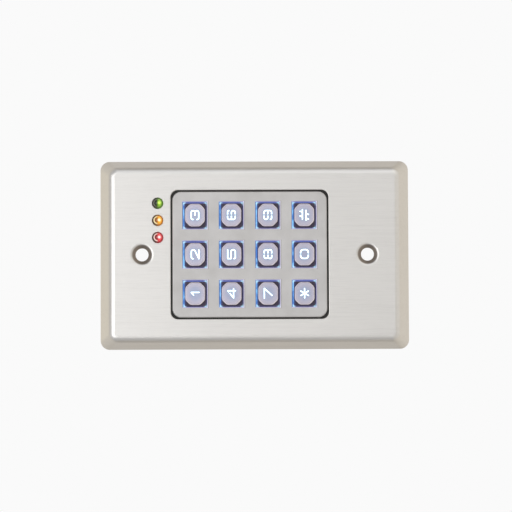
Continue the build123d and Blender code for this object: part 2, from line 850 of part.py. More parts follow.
# ---- Relay, buzzer, capacitors, regulator and crystal ----
with BuildPart() as relay:
    with BuildSketch(facing(control_back, relay_x, relay_z)):
        RectangleRounded(relay_width, relay_height, relay_edge)
    extrude(amount=-relay_depth)
    fillet(relay.faces().sort_by(Axis.Y)[-1].edges(), relay_edge / 2)
save(relay, "relay")

with BuildPart() as buzzer:
    with BuildSketch(facing(control_back, buzzer_x, buzzer_z)):
        Circle(buzzer_radius)
    extrude(amount=-buzzer_depth)
    fillet(buzzer.faces().sort_by(Axis.Y)[-1].edges(), buzzer_port_depth / 3)
    with BuildSketch(facing(control_back - buzzer_depth, buzzer_x, buzzer_z)):
        Circle(buzzer_port)
    extrude(amount=buzzer_port_depth, mode=Mode.SUBTRACT)
save(buzzer, "buzzer")


def capacitor_can(x, z, radius, length):
    """A round can standing on the board: a rolled crimp near its foot, bevelled shoulders."""
    crimp, roll = radius * 0.09, radius * 0.16
    foot, seat = radius * 0.4, -control_back
    with BuildPart() as can:
        with BuildSketch(Plane.XY.offset(z)):
            with BuildLine():
                Polyline(
                    (x, seat),
                    (x + radius, seat),
                    (x + radius, seat + foot),
                    (x + radius - crimp, seat + foot + crimp),
                    (x + radius, seat + foot + 2 * crimp),
                    (x + radius, seat + length - roll),
                    (x + radius - roll, seat + length),
                    (x, seat + length),
                    close=True,
                )
            make_face()
        revolve(axis=Axis((x, 0, z), (0, 1, 0)))
    return can.part


with BuildPart() as electrolytics:
    for x, z, radius, length in capacitors:
        add(capacitor_can(x, z, radius, length))
save(electrolytics, "electrolytic_capacitors")

tab_width, tab_height, tab_thick = 5.4, 1.6, 0.5
regulator_width, regulator_height, regulator_thick = 6.5, 6.1, 2.3
regulator_lead, regulator_lead_reach = 0.8, 2.6
with BuildPart() as regulator:
    with BuildSketch(facing(control_back, regulator_x, regulator_z)):
        Rectangle(regulator_width, regulator_height)
    extrude(amount=-regulator_thick)
    chamfer(regulator.faces().sort_by(Axis.Y)[-1].edges(), tab_thick / 2)
save(regulator, "voltage_regulator")

with BuildPart() as regulator_tab:
    with BuildSketch(facing(control_back, regulator_x, regulator_z)):
        with Locations((0, (regulator_height + tab_height) / 2)):
            Rectangle(tab_width, tab_height)
        with Locations(
            (-tab_width / 2 + regulator_lead / 2, -(regulator_height + regulator_lead_reach) / 2),
            (tab_width / 2 - regulator_lead / 2, -(regulator_height + regulator_lead_reach) / 2),
        ):
            Rectangle(regulator_lead, regulator_lead_reach)
    extrude(amount=-tab_thick)
save(regulator_tab, "regulator_tab")

crystal_length, crystal_width, crystal_depth = 10.2, 4.6, 3.4
with BuildPart() as crystal:
    with BuildSketch(facing(control_back, crystal_x, crystal_z)):
        SlotOverall(crystal_length, crystal_width, rotation=90)
    extrude(amount=-crystal_depth)
    fillet(crystal.faces().sort_by(Axis.Y)[-1].edges(), relay_edge / 2)
    with BuildSketch(facing(control_back, crystal_x, crystal_z)):
        SlotOverall(crystal_length + relay_edge, crystal_width + relay_edge, rotation=90)
    extrude(amount=-tab_thick)
save(crystal, "crystal")


# ---- Microcontroller and its leads ----
with BuildPart() as microcontroller:
    with BuildSketch(facing(control_back - chip_clear, chip_x, chip_z)):
        RectangleRounded(chip_size, chip_size, chip_clear * 3)
    extrude(amount=-chip_thick)
    with BuildSketch(
        facing(
            control_back - chip_clear - chip_thick,
            chip_x - chip_size * 0.36,
            chip_z + chip_size * 0.36,
        )
    ):
        Circle(chip_size * 0.05)
    extrude(amount=chip_clear, mode=Mode.SUBTRACT)
save(microcontroller, "microcontroller")


# One gull-wing lead, out of the body and down to the board, seen from its side.
with BuildPart() as chip_lead:
    with BuildSketch(Plane.XY):
        with BuildLine():
            chip_side = chip_size / 2
            rise = chip_clear + chip_thick / 2
            knee = chip_side + chip_pin_reach * 0.4
            Polyline(
                (chip_side, rise),
                (chip_side, rise + chip_pin_thick),
                (knee + chip_pin_thick, rise + chip_pin_thick),
                (knee + chip_pin_thick, chip_pin_thick),
                (chip_side + chip_pin_reach, chip_pin_thick),
                (chip_side + chip_pin_reach, 0),
                (knee, 0),
                (knee, rise),
                close=True,
            )
        make_face()
    extrude(amount=chip_pin_width / 2, both=True)

with BuildPart() as chip_leads:
    for side in range(4):
        for i in range(chip_pins):
            slide = (i - (chip_pins - 1) / 2) * chip_pin_pitch
            place = (
                Location((chip_x, -control_back, chip_z))
                * Location((0, 0, 0), (0, 90 * side, 0))
                * Location((0, 0, slide))
            )
            add(chip_lead.part.moved(place))
save(chip_leads, "microcontroller_leads")


# ---- Small surface parts ----
with BuildPart() as power_diodes:
    with BuildSketch(facing(control_back)):
        with Locations(list(diodes)):
            Rectangle(diode_width, diode_length)
    extrude(amount=-diode_thick)
    chamfer(power_diodes.faces().group_by(Axis.Y)[-1].edges(), tab_thick / 2)
save(power_diodes, "diodes")

resistor_places = [
    (resistor_row_x + i * resistor_pitch, resistor_row_z) for i in range(resistor_count)
] + [
    (resistor_bank_x + i * resistor_bank_pitch, resistor_bank_z)
    for i in range(resistor_bank_count)
]
with BuildPart() as chip_resistors:
    with BuildSketch(facing(control_back)):
        with Locations(resistor_places):
            Rectangle(resistor_width, resistor_length)
    extrude(amount=-resistor_thick)
save(chip_resistors, "chip_resistors")
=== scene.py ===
"""Looks, light and camera of the keypad access reader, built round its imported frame.

Lengths are in metres in the frame's own axes: +X to the user's right, +Z up and +Y into
the wall. A "height" is a distance out of the wall plane, along -Y. Shader expressions
work in millimetres.
"""

import logging
import math
from dataclasses import dataclass, field, replace
from enum import Enum
from typing import Any, Callable, Iterable, Sequence

import bmesh
import bpy
from mathutils import Matrix, Vector, noise


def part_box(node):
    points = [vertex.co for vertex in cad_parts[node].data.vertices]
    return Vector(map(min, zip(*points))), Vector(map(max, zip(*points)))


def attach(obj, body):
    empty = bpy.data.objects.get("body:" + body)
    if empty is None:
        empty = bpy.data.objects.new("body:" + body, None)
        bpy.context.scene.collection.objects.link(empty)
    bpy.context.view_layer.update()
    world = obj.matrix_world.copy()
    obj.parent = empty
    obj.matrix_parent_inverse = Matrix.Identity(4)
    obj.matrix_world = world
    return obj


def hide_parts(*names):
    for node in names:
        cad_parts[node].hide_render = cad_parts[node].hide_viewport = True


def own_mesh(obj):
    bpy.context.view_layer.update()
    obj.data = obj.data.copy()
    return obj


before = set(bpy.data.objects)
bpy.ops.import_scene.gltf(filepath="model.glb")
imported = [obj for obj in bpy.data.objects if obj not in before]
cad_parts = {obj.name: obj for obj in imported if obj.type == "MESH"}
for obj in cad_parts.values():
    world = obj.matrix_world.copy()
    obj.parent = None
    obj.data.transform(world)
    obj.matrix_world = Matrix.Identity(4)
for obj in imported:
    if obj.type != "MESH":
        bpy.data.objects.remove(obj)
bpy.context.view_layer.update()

Colour = tuple[float, float, float]
Point = tuple[float, float, float]
Flat = tuple[float, float]

MM = 0.001
BLACK: Colour = (0.0, 0.0, 0.0)
SMOOTH_BELOW = 40.0
KEY_SYMBOLS = ("1", "2", "3", "4", "5", "6", "7", "8", "9", "star", "0", "hash")

log = logging.getLogger("keypad_reader")


# ---- shader maths


class Wire:
    """A socket in a node tree. Arithmetic on it adds the Math nodes that it stands for."""

    def __init__(self, bench: "Bench", socket: bpy.types.NodeSocket) -> None:
        """Wraps a socket.

        Args:
            bench: The tree that the socket is in.
            socket: An output socket that carries one number, a vector or a colour.
        """
        self.bench = bench
        self.socket = socket

    def _maths(self, operation: str, *others: "Value") -> "Wire":
        """Adds a Math node on this wire and others.

        Args:
            operation: The Math node's operation.
            *others: The node's second and third values.

        Returns:
            The node's result.
        """
        values = dict(enumerate((self, *others)))
        return self.bench.node("ShaderNodeMath", {"operation": operation}, values)

    def __add__(self, other: "Value") -> "Wire":
        """This wire plus another value."""
        return self._maths("ADD", other)

    __radd__ = __add__

    def __mul__(self, other: "Value") -> "Wire":
        """This wire times another value."""
        return self._maths("MULTIPLY", other)

    __rmul__ = __mul__

    def __sub__(self, other: "Value") -> "Wire":
        """This wire less another value."""
        return self._maths("SUBTRACT", other)

    def __rsub__(self, other: float) -> "Wire":
        """A number less this wire."""
        return self.bench.node("ShaderNodeMath", {"operation": "SUBTRACT"}, {0: other, 1: self})

    def __truediv__(self, other: "Value") -> "Wire":
        """This wire divided by another value."""
        return self._maths("DIVIDE", other)

    def __gt__(self, other: "Value") -> "Wire":
        """1 where this wire is the larger, 0 elsewhere."""
        return self._maths("GREATER_THAN", other)

    def __lt__(self, other: "Value") -> "Wire":
        """1 where this wire is the smaller, 0 elsewhere."""
        return self._maths("LESS_THAN", other)

    def __abs__(self) -> "Wire":
        """This wire without its sign."""
        return self._maths("ABSOLUTE")

    def __pow__(self, other: "Value") -> "Wire":
        """This wire to a power."""
        return self._maths("POWER", other)

    def fraction(self) -> "Wire":
        """What is left of this wire above the whole number below it."""
        return self._maths("FRACT")

    def floor(self) -> "Wire":
        """The whole number below this wire."""
        return self._maths("FLOOR")

    def root(self) -> "Wire":
        """The square root of this wire."""
        return self._maths("SQRT")

    def larger(self, other: "Value") -> "Wire":
        """The larger of this wire and another value."""
        return self._maths("MAXIMUM", other)

    def smaller(self, other: "Value") -> "Wire":
        """The smaller of this wire and another value."""
        return self._maths("MINIMUM", other)

    def ramp(self, low: float, high: float) -> "Wire":
        """A smooth step of this wire.

        Args:
            low: The value at which the step is 0.
            high: The value at which the step is 1. It may be below low.

        Returns:
            A value from 0 to 1.
        """
        start, end = min(low, high), max(low, high)
        step = self.bench.node(
            "ShaderNodeMapRange",
            {"interpolation_type": "SMOOTHSTEP"},
            {"Value": self, "From Min": start, "From Max": end},
        )
        return step if high >= low else 1 - step


Value = Wire | float
Tint = Wire | Colour


class Bench:
    """A node tree under construction."""

    def __init__(self, tree: bpy.types.NodeTree) -> None:
        """Starts on a tree.

        Args:
            tree: The node tree, whose nodes are cleared.
        """
        self.tree = tree
        tree.nodes.clear()

    def node(
        self,
        kind: str,
        settings: dict[str, Any] | None = None,
        inputs: dict[str | int, Any] | None = None,
        output: str | int = 0,
    ) -> Wire:
        """Adds one node.

        Args:
            kind: The node's type.
            settings: Its properties, set first.
            inputs: Numbers, colours or wires for its input sockets, by name or index.
            output: The output socket to hand back.

        Returns:
            That output as a wire.
        """
        made = self.tree.nodes.new(kind)
        for name, value in (settings or {}).items():
            setattr(made, name, value)
        for name, value in (inputs or {}).items():
            socket = made.inputs[name]
            if isinstance(value, Wire):
                self.tree.links.new(value.socket, socket)
            elif isinstance(value, tuple) and socket.type == "RGBA":
                socket.default_value = (*value, 1.0)
            else:
                socket.default_value = value
        outputs = made.outputs
        return Wire(self, outputs[output] if len(outputs) else made.inputs[0])

    def mix(self, share: Value, first: Tint, second: Tint) -> Wire:
        """Mixes two colours.

        Args:
            share: The share of the second colour.
            first: The colour where the share is 0.
            second: The colour where the share is 1.

        Returns:
            The mixed colour.
        """
        return self.node(
            "ShaderNodeMix",
            {"data_type": "RGBA", "clamp_factor": True},
            {0: share, 6: first, 7: second},
            output=2,
        )

    def layers(self, colour: Tint, *layers: tuple[Value, Tint]) -> Tint:
        """Lays colours over one another.

        Args:
            colour: The lowest colour.
            *layers: Each further layer's share and colour, from the lowest up.

        Returns:
            The colour that shows.
        """
        for share, tint in layers:
            colour = self.mix(share, colour, tint)
        return colour

    def scale_vector(self, vector: Wire, scale: Point) -> Wire:
        """A vector with each part scaled.

        Args:
            vector: The vector.
            scale: One factor for each axis.

        Returns:
            The scaled vector.
        """
        return self.node(
            "ShaderNodeVectorMath", {"operation": "MULTIPLY"}, {0: vector, 1: scale}
        )

    def place(self) -> Wire:
        """Where a point is on its own piece, in millimetres."""
        spot = self.node("ShaderNodeTexCoord", output="Object")
        return self.scale_vector(spot, (1 / MM, 1 / MM, 1 / MM))

    def parts(self, vector: Wire) -> tuple[Wire, Wire, Wire]:
        """The three parts of a vector."""
        split = self.node("ShaderNodeSeparateXYZ", {}, {0: vector}).socket.node
        return tuple(Wire(self, s) for s in split.outputs)

    def facing(self) -> tuple[Wire, Wire, Wire]:
        """The three parts of the surface's normal in its own piece's axes."""
        return self.parts(self.node("ShaderNodeTexCoord", output="Normal"))

    def grain(
        self, place: Wire, per_mm: float | Point, detail: float = 2.0, roughness: float = 0.5
    ) -> Wire:
        """Noise of one size, or with a size for each axis.

        Args:
            place: The place in millimetres.
            per_mm: Cycles of noise for each millimetre, for all axes or for X, Y and Z.
            detail: The number of finer layers.
            roughness: How strong the finer layers are.

        Returns:
            A value round 0.5.
        """
        stretch = per_mm if isinstance(per_mm, tuple) else (per_mm,) * 3
        values = {
            "Vector": self.scale_vector(place, stretch),
            "Scale": 1.0,
            "Detail": detail,
            "Roughness": roughness,
        }
        return self.node("ShaderNodeTexNoise", {}, values)

    def cells(self, place: Wire, per_mm: float) -> Wire:
        """Distance from the nearest of many scattered points, as foam cells have.

        Args:
            place: The place in millimetres.
            per_mm: Cells for each millimetre.

        Returns:
            The distance in cell widths.
        """
        return self.node("ShaderNodeTexVoronoi", {}, {"Vector": place, "Scale": per_mm})

    def chance(self, across: Wire, along: Wire) -> Wire:
        """A fixed random number for each pair of whole numbers."""
        pair = self.node("ShaderNodeCombineXYZ", {}, {0: across, 1: along})
        return self.node(
            "ShaderNodeTexWhiteNoise", {"noise_dimensions": "2D"}, {"Vector": pair}
        )

    def bump(self, height: Value, depth_mm: float, strength: float = 1.0) -> Wire:
        """A normal that follows a height.

        Args:
            height: The height, where 1 is the full depth.
            depth_mm: The depth in millimetres.
            strength: The share of it that shows.

        Returns:
            The bent normal.
        """
        values = {"Strength": strength, "Distance": depth_mm * MM, "Height": height}
        return self.node("ShaderNodeBump", {}, values)


# ---- finishes


MADE: dict[str, bpy.types.Material] = {}


@dataclass(frozen=True)
class Finish:
    """What every finish has: a name, a colour and the shader's plain numbers."""

    name: str
    colour: Colour
    roughness: float = 0.5
    metallic: float = 0.0
    extras: tuple[tuple[str, Any], ...] = ()

    def dress(self, bench: Bench) -> dict[str, Any]:
        """The sockets that vary over the surface. A plain finish has none."""
        return {}

    def material(self) -> bpy.types.Material:
        """Makes the material.

        Returns:
            A material of this finish, made once for each name.
        """
        if self.name in MADE:
            return MADE[self.name]
        made = MADE[self.name] = bpy.data.materials.new(f"finish_{self.name}")
        made.use_nodes = True
        bench = Bench(made.node_tree)
        plain = {
            "Base Color": self.colour,
            "Roughness": self.roughness,
            "Metallic": self.metallic,
        }
        sockets = {**plain, **dict(self.extras), **self.dress(bench)}
        if "Emission Color" in sockets:
            sockets.setdefault("Emission Strength", 1.0)
        shader = bench.node("ShaderNodeBsdfPrincipled", {}, sockets)
        bench.node("ShaderNodeOutputMaterial", {}, {"Surface": shader})
        made.diffuse_color = (*self.colour, 1.0)
        return made


@dataclass(frozen=True)
class BrushedSteel(Finish):
    """Stainless sheet brushed along +Z, with a painted warmer, darker reflection on its pressed
    rim.
    """

    rim_start: float = 4.6
    rim_end: float = 5.3
    # painted reflection: the pressed rim's warmer, darker colour, for the dimmer surroundings it
    # faces
    painted_rim_colour: Colour = (0.78, 0.75, 0.7)
    face: float = 5.5
    hole_spacing: float = 83.34
    dimple_radius: float = 4.1

    def dress(self, bench: Bench) -> dict[str, Any]:
        """Brush lines, faint bands, fine scratches, a painted reflection on the rim and painted
        shade in the screw dimples.
        """
        place = bench.place()
        x, y, z = bench.parts(place)
        fine = bench.grain(place, (9.0, 9.0, 0.22), 3.0, 0.62)
        broad = bench.grain(place, (1.1, 1.1, 0.03), 2.0, 0.5)
        smear = bench.grain(place, (0.06, 0.06, 0.04), 2.0, 0.5)
        height = 0 - y
        # painted reflection: mask of the pressed rim, which takes the painted rim colour
        rim = height.ramp(self.rim_end, self.rim_start)
        from_hole = ((abs(z) - self.hole_spacing / 2) ** 2 + x ** 2).root()
        sunk = height.ramp(self.face + 0.02, self.face - 0.2)
        # painted shade: darkens the sunk screw dimples
        dimple_shade = from_hole.ramp(self.dimple_radius, self.dimple_radius - 0.8) * sunk
        tone = (fine - 0.5) * 0.34 + (broad - 0.5) * 0.2 + (smear - 0.5) * 0.1
        base = bench.layers(
            self.colour,
            (rim, self.painted_rim_colour),
            ((0 - tone).larger(0), (0.3, 0.29, 0.27)),
            (tone.larger(0), (1.0, 0.99, 0.97)),
            (dimple_shade * 0.8, (0.16, 0.12, 0.09)),
        )
        return {
            "Base Color": base,
            "Roughness": fine * 0.16 + broad * 0.06 + (self.roughness - 0.11),
            "Normal": bench.bump(fine + broad * 0.4, 0.012, 0.35),
        }


@dataclass(frozen=True)
class KeyGrid:
    """Where the keys' cells are, in millimetres, for finishes that change round a key."""

    column_pitch: float
    row_pitch: float
    row_start: float
    half_width: float
    half_height: float
    columns: int = 3
    rows: int = 4

    def field(self, x: Wire, z: Wire) -> Wire:
        """A mask of the keys' cells at a place along X and Z."""
        middle_z = self.row_start - (self.rows - 1) / 2 * self.row_pitch
        inside_x = abs(x) < self.columns / 2 * self.column_pitch
        return inside_x * (abs(z - middle_z) < self.rows / 2 * self.row_pitch)

    def local(self, x: Wire, z: Wire) -> tuple[Wire, Wire]:
        """The distances right of and above the middle of the key whose cell a place is in."""
        across = ((x / self.column_pitch + 0.5).fraction() - 0.5) * self.column_pitch
        shifted = (z - self.row_start) / self.row_pitch
        up = ((shifted + 0.5).fraction() - 0.5) * self.row_pitch
        return across, up

    def beyond(self, across: Wire, up: Wire) -> Wire:
        """How far a place is outside the aperture's edge; negative inside it."""
        return (abs(across) - self.half_width).larger(abs(up) - self.half_height)

    def sides(self, across: Wire, up: Wire) -> tuple[Wire, Wire, Wire]:
        """Masks of the aperture's upper, lower and right sides. The left is what is left."""
        margin = (abs(up) - self.half_height) - (abs(across) - self.half_width)
        level = margin.ramp(-0.1, 0.1)
        upper, lower = level * up.ramp(-0.5, 0.5), level * up.ramp(0.5, -0.5)
        return upper, lower, (1 - level) * across.ramp(-0.5, 0.5)


@dataclass(frozen=True)
class SatinCasting(Finish):
    """Satin-coated die casting with painted key light and shade on its aperture rims and walls."""

    grid: KeyGrid | None = None
    # painted shade for the aperture walls, then painted key light for the aperture rims
    wall_shade_colour: Colour = (0.16, 0.14, 0.2)
    painted_rim_colour: Colour = (0.74, 0.72, 0.93)
    front: float = 5.7

    def dress(self, bench: Bench) -> dict[str, Any]:
        """Fine cast texture, painted light and shade on the aperture rims that differ by side, a
        painted shadow line below the apertures, and painted shade and glow on the aperture walls.
        """
        place = bench.place()
        x, y, z = bench.parts(place)
        across, up = self.grid.local(x, z)
        beyond = self.grid.beyond(across, up)
        fine = bench.grain(place, 3.2, 3.0, 0.6)
        broad = bench.grain(place, 0.12, 2.0, 0.5)
        height = 0 - y
        keys = self.grid.field(x, z)
        upper, lower, right = self.grid.sides(across, up)
        # painted light: mask of the aperture rims, which take the painted rim colour and glow
        rim = beyond.ramp(0.29, 0.2) * height.ramp(self.front - 0.8, self.front - 0.3) * keys
        # painted shade: the aperture walls are darkened; the upper walls also get painted blue
        # glow
        wall = beyond.ramp(0.08, 0.01) * height.ramp(self.front - 0.15, self.front - 0.4) * keys
        shadow = beyond.ramp(0.25, 0.36) * beyond.ramp(0.7, 0.5) * keys * lower
        # painted light and shade: the rims' tone is dark blue on the upper side and bright on the
        # lower side
        tone = bench.layers(
            self.painted_rim_colour, (upper, (0.16, 0.26, 0.5)), (lower, (0.88, 0.86, 0.97))
        )
        base = bench.layers(
            self.colour,
            ((broad - 0.5) * 1.3 + 0.2, (0.5, 0.49, 0.48)),
            ((fine - 0.5).larger(0) * 0.4, (0.3, 0.3, 0.3)),
            (shadow * 0.4, (0.24, 0.22, 0.24)),
            (rim, tone),
            (wall * 0.8, self.wall_shade_colour),
        )
        # painted glow on the rims, brightest on the lower side and dimmest on the upper side
        light = bench.layers(
            (0.14, 0.14, 0.27),
            (upper, (0.01, 0.05, 0.2)),
            (lower, (0.2, 0.2, 0.32)),
            (right, (0.05, 0.06, 0.2)),
        )
        glow = bench.layers(BLACK, (rim, light), (wall * upper, (0.06, 0.25, 0.5)))
        return {
            "Base Color": base,
            "Roughness": fine * 0.14 + (self.roughness - 0.07),
            "Emission Color": glow,
            "Normal": bench.bump(fine, 0.02, 0.3),
        }


@dataclass(frozen=True)
class KeyCapMetal(Finish):
    """Smooth key metal, with painted glow round its legend and painted shade on the base behind
    the face.
    """

    grid: KeyGrid | None = None
    base_front: float = 5.1
    face: float = 6.9
    # reach of the painted glow along the legend's edges
    painted_glow_reach: float = 0.4
    shade: Colour = (0.06, 0.045, 0.08)

    def dress(self, bench: Bench) -> dict[str, Any]:
        """Painted glow round the legend, painted shade on the base, a painted highlight on the
        chamfered edge and painted blue glow low on the upper side.
        """
        place = bench.place()
        x, y, z = bench.parts(place)
        height = 0 - y
        across, up = self.grid.local(x, z)
        fine = bench.grain(place, 4.0, 3.0, 0.55)
        soft = bench.grain(place, 0.5, 2.0, 0.5)
        # painted shade: the base behind the face is dark and less metallic
        low = height.ramp(self.face - 0.4, self.base_front + 0.1)
        top = height.ramp(self.face - 0.2, self.face - 0.02)
        reach = (across ** 2 + (up * 1.1) ** 2).root()
        # painted glow: the face round the legend is tinted blue and glows
        inside = reach.ramp(3.7, 1.6) * top
        rounded = bench.node("ShaderNodeBevel", {"samples": 8}, {"Radius": self.painted_glow_reach * MM})
        # painted glow: a cyan fringe along the legend's edges
        painted_fringe_glow = abs(bench.parts(rounded)[1]).ramp(0.995, 0.8) * reach.ramp(2.9, 2.5) * top
        # painted highlight: the face's chamfered edge is lightened and glows
        chamfer_highlight = height.ramp(self.face - 0.38, self.face - 0.3)
        chamfer_highlight = chamfer_highlight * height.ramp(self.face - 0.005, self.face - 0.04)
        # painted glow: blue light on the cap's upper side near its base
        side = up.ramp(3.0, 4.1) * height.ramp(self.base_front + 0.2, self.base_front - 0.05)
        # painted highlight strength, brighter towards the upper left
        bright = (up * 0.05 - across * 0.04 + 0.5).larger(0.2).smaller(0.9)
        base = bench.layers(
            self.colour,
            ((soft - 0.5) * 0.3 + 0.1, (0.5, 0.48, 0.58)),
            ((fine - 0.5).larger(0) * 0.3, (0.35, 0.33, 0.42)),
            (inside * 0.6, (0.38, 0.45, 0.62)),
            (chamfer_highlight * 0.8, (0.9, 0.85, 0.88)),
            (low, self.shade),
            (painted_fringe_glow, (0.04, 0.24, 0.34)),
        )
        glow = bench.layers(
            BLACK,
            (inside * 0.5, (0.02, 0.035, 0.07)),
            (painted_fringe_glow, (0.02, 0.16, 0.24)),
            (side, (0.01, 0.04, 0.16)),
            (chamfer_highlight * bright, (0.28, 0.25, 0.29)),
        )
        return {
            "Base Color": base,
            "Roughness": fine * 0.12 + (self.roughness - 0.06),
            "Metallic": 1 - low * 0.8,
            "Emission Color": glow,
            "Normal": bench.bump(fine, 0.01, 0.3),
        }


@dataclass(frozen=True)
class LightGuide(Finish):
    """Translucent guide with painted glow for the backlight: white in the legend, blue in the gap,
    painted lighter or darker by side and brightest at corners.
    """

    grid: KeyGrid | None = None
    legend_back: float = 5.4
    legend_light: Colour = (0.93, 1.04, 1.06)

    def dress(self, bench: Bench) -> dict[str, Any]:
        """The light that leaves each part of the guide, with painted light and shade that differ
        by side and a painted darker colour in the gap.
        """
        place = bench.place()
        x, y, z = bench.parts(place)
        across, up = self.grid.local(x, z)
        legend = (0 - y) > self.legend_back
        width, height = self.grid.half_width, self.grid.half_height
        corner = abs(across).ramp(width - 1.5, width - 0.2)
        corner = corner * abs(up).ramp(height - 1.5, height - 0.2)
        upper, lower, right = self.grid.sides(across, up)
        cloud = bench.grain(place, 0.35, 2.0, 0.5)
        blue = bench.mix(cloud.ramp(0.42, 0.64), (0.03, 0.13, 0.42), (0.22, 0.55, 0.85))
        # painted light and shade: the gap glows blue on the upper side, dark on the lower side and
        # dim blue on the right; the legend's glow stands for the backlight
        glow = bench.layers(
            (0.02, 0.012, 0.06),
            (upper, blue),
            (lower, (0.01, 0.006, 0.05)),
            (right, (0.07, 0.1, 0.36)),
            (corner * (1 - lower * 0.4), (0.5, 0.82, 0.95)),
            (legend, self.legend_light),
        )
        # painted shade: the guide's colour is darker in the narrow gap than in the legend
        return {
            "Base Color": bench.mix(legend, (0.2, 0.22, 0.36), self.colour),
            "Emission Color": glow,
            "Normal": bench.bump(cloud, 0.02, 0.2),
        }


class Skin(Enum):
    """How a moulded, plated or rolled surface is textured."""

    MOULDED = "moulded"
    PLATED = "plated"
    FOAM = "foam"
    TURNED = "turned"


@dataclass(frozen=True)
class Textured(Finish):
    """A one-colour surface with its own fine texture and colour drift."""

    skin: Skin = Skin.MOULDED
    second: Colour = (0.1, 0.1, 0.1)
    drift: float = 0.35
    spread: float = 0.16
    per_mm: float = 4.0
    depth_mm: float = 0.02

    def dress(self, bench: Bench) -> dict[str, Any]:
        """Texture of the skin, drift between two tones and uneven gloss."""
        place = bench.place()
        fine = self._texture(bench, place)
        broad = bench.grain(place, 0.35, 3.0, 0.55)
        share = (broad - 0.35).larger(0) * self.drift + (fine - 0.5).larger(0) * self.drift
        return {
            "Base Color": bench.mix(share, self.colour, self.second),
            "Roughness": fine * self.spread + (self.roughness - self.spread / 2),
            "Normal": bench.bump(fine, self.depth_mm, 0.6),
        }

    def _texture(self, bench: Bench, place: Wire) -> Wire:
        """The fine height of the skin.

        Args:
            bench: The material's tree.
            place: The place in millimetres.

        Returns:
            A value round 0.5.
        """
        if self.skin is Skin.FOAM:
            pores = bench.cells(place, self.per_mm)
            return pores * 0.7 + bench.grain(place, self.per_mm) * 0.4
        if self.skin is Skin.TURNED:
            return bench.grain(place, (self.per_mm * 0.4, self.per_mm * 4, self.per_mm * 0.4))
        if self.skin is Skin.PLATED:
            return bench.grain(place, self.per_mm, 4.0, 0.65)
        return bench.grain(place, self.per_mm, 2.0, 0.5)


@dataclass(frozen=True)
class BoardMask(Finish):
    """Green solder mask over copper tracks, with vias, painted shade in their holes and bare
    glass-cloth edges.
    """

    edge: Colour = (0.42, 0.36, 0.18)
    track: Colour = (0.045, 0.26, 0.12)
    tin: Colour = (0.72, 0.72, 0.68)
    track_pitch: float = 1.27
    via_pitch: float = 2.54

    def _tracks(self, bench: Bench, across: Wire, along: Wire, seed: float) -> Wire:
        """Straight tracks that run one way and stop and start at random.

        Args:
            bench: The material's tree.
            across: The place across the tracks.
            along: The place along them.
            seed: Shifts the random choice.

        Returns:
            1 on a track, 0 off it.
        """
        lane = across / self.track_pitch
        line = abs(lane.fraction() - 0.5).ramp(0.17, 0.13)
        row = bench.chance(lane.floor() + seed, (along / 7.3 + seed * 0.37).floor())
        return line * (row > 0.52)

    def dress(self, bench: Bench) -> dict[str, Any]:
        """Tracks, vias with painted shade in their holes, weave and edges."""
        place = bench.place()
        x, _, z = bench.parts(place)
        _, out, _ = bench.facing()
        weave = bench.grain(place, 2.1, 2.0, 0.6)
        region = bench.grain(place, 0.08, 0.0, 0.5) > 0.5
        upright = self._tracks(bench, x, z, 3.0) * region
        level = self._tracks(bench, z, x, 11.0) * (1 - region)
        tracks = upright.larger(level)
        cell_x, cell_z = x / self.via_pitch, z / self.via_pitch
        off_x, off_z = cell_x.fraction() - 0.5, cell_z.fraction() - 0.5
        ring = (off_x ** 2 + off_z ** 2).root() * self.via_pitch
        picked = bench.chance(cell_x.floor(), cell_z.floor()) > 0.86
        via = ring.ramp(0.36, 0.32) * picked
        # painted shade: the via holes are painted near black
        drill_shade = ring.ramp(0.17, 0.14) * picked
        side = abs(out) < 0.5
        base = bench.layers(
            self.colour,
            ((weave - 0.4) * 0.4, (0.01, 0.09, 0.04)),
            (tracks * 0.75, self.track),
            (via, self.tin),
            (drill_shade, (0.02, 0.02, 0.02)),
            (side, self.edge),
        )
        height = tracks * 0.6 + via * 0.8 - drill_shade
        return {
            "Base Color": base,
            "Roughness": side * 0.4 + weave * 0.1 + (self.roughness - 0.05),
            "Metallic": (via - drill_shade).larger(0) * (1 - side),
            "Normal": bench.bump(height, 0.035, 0.8),
        }


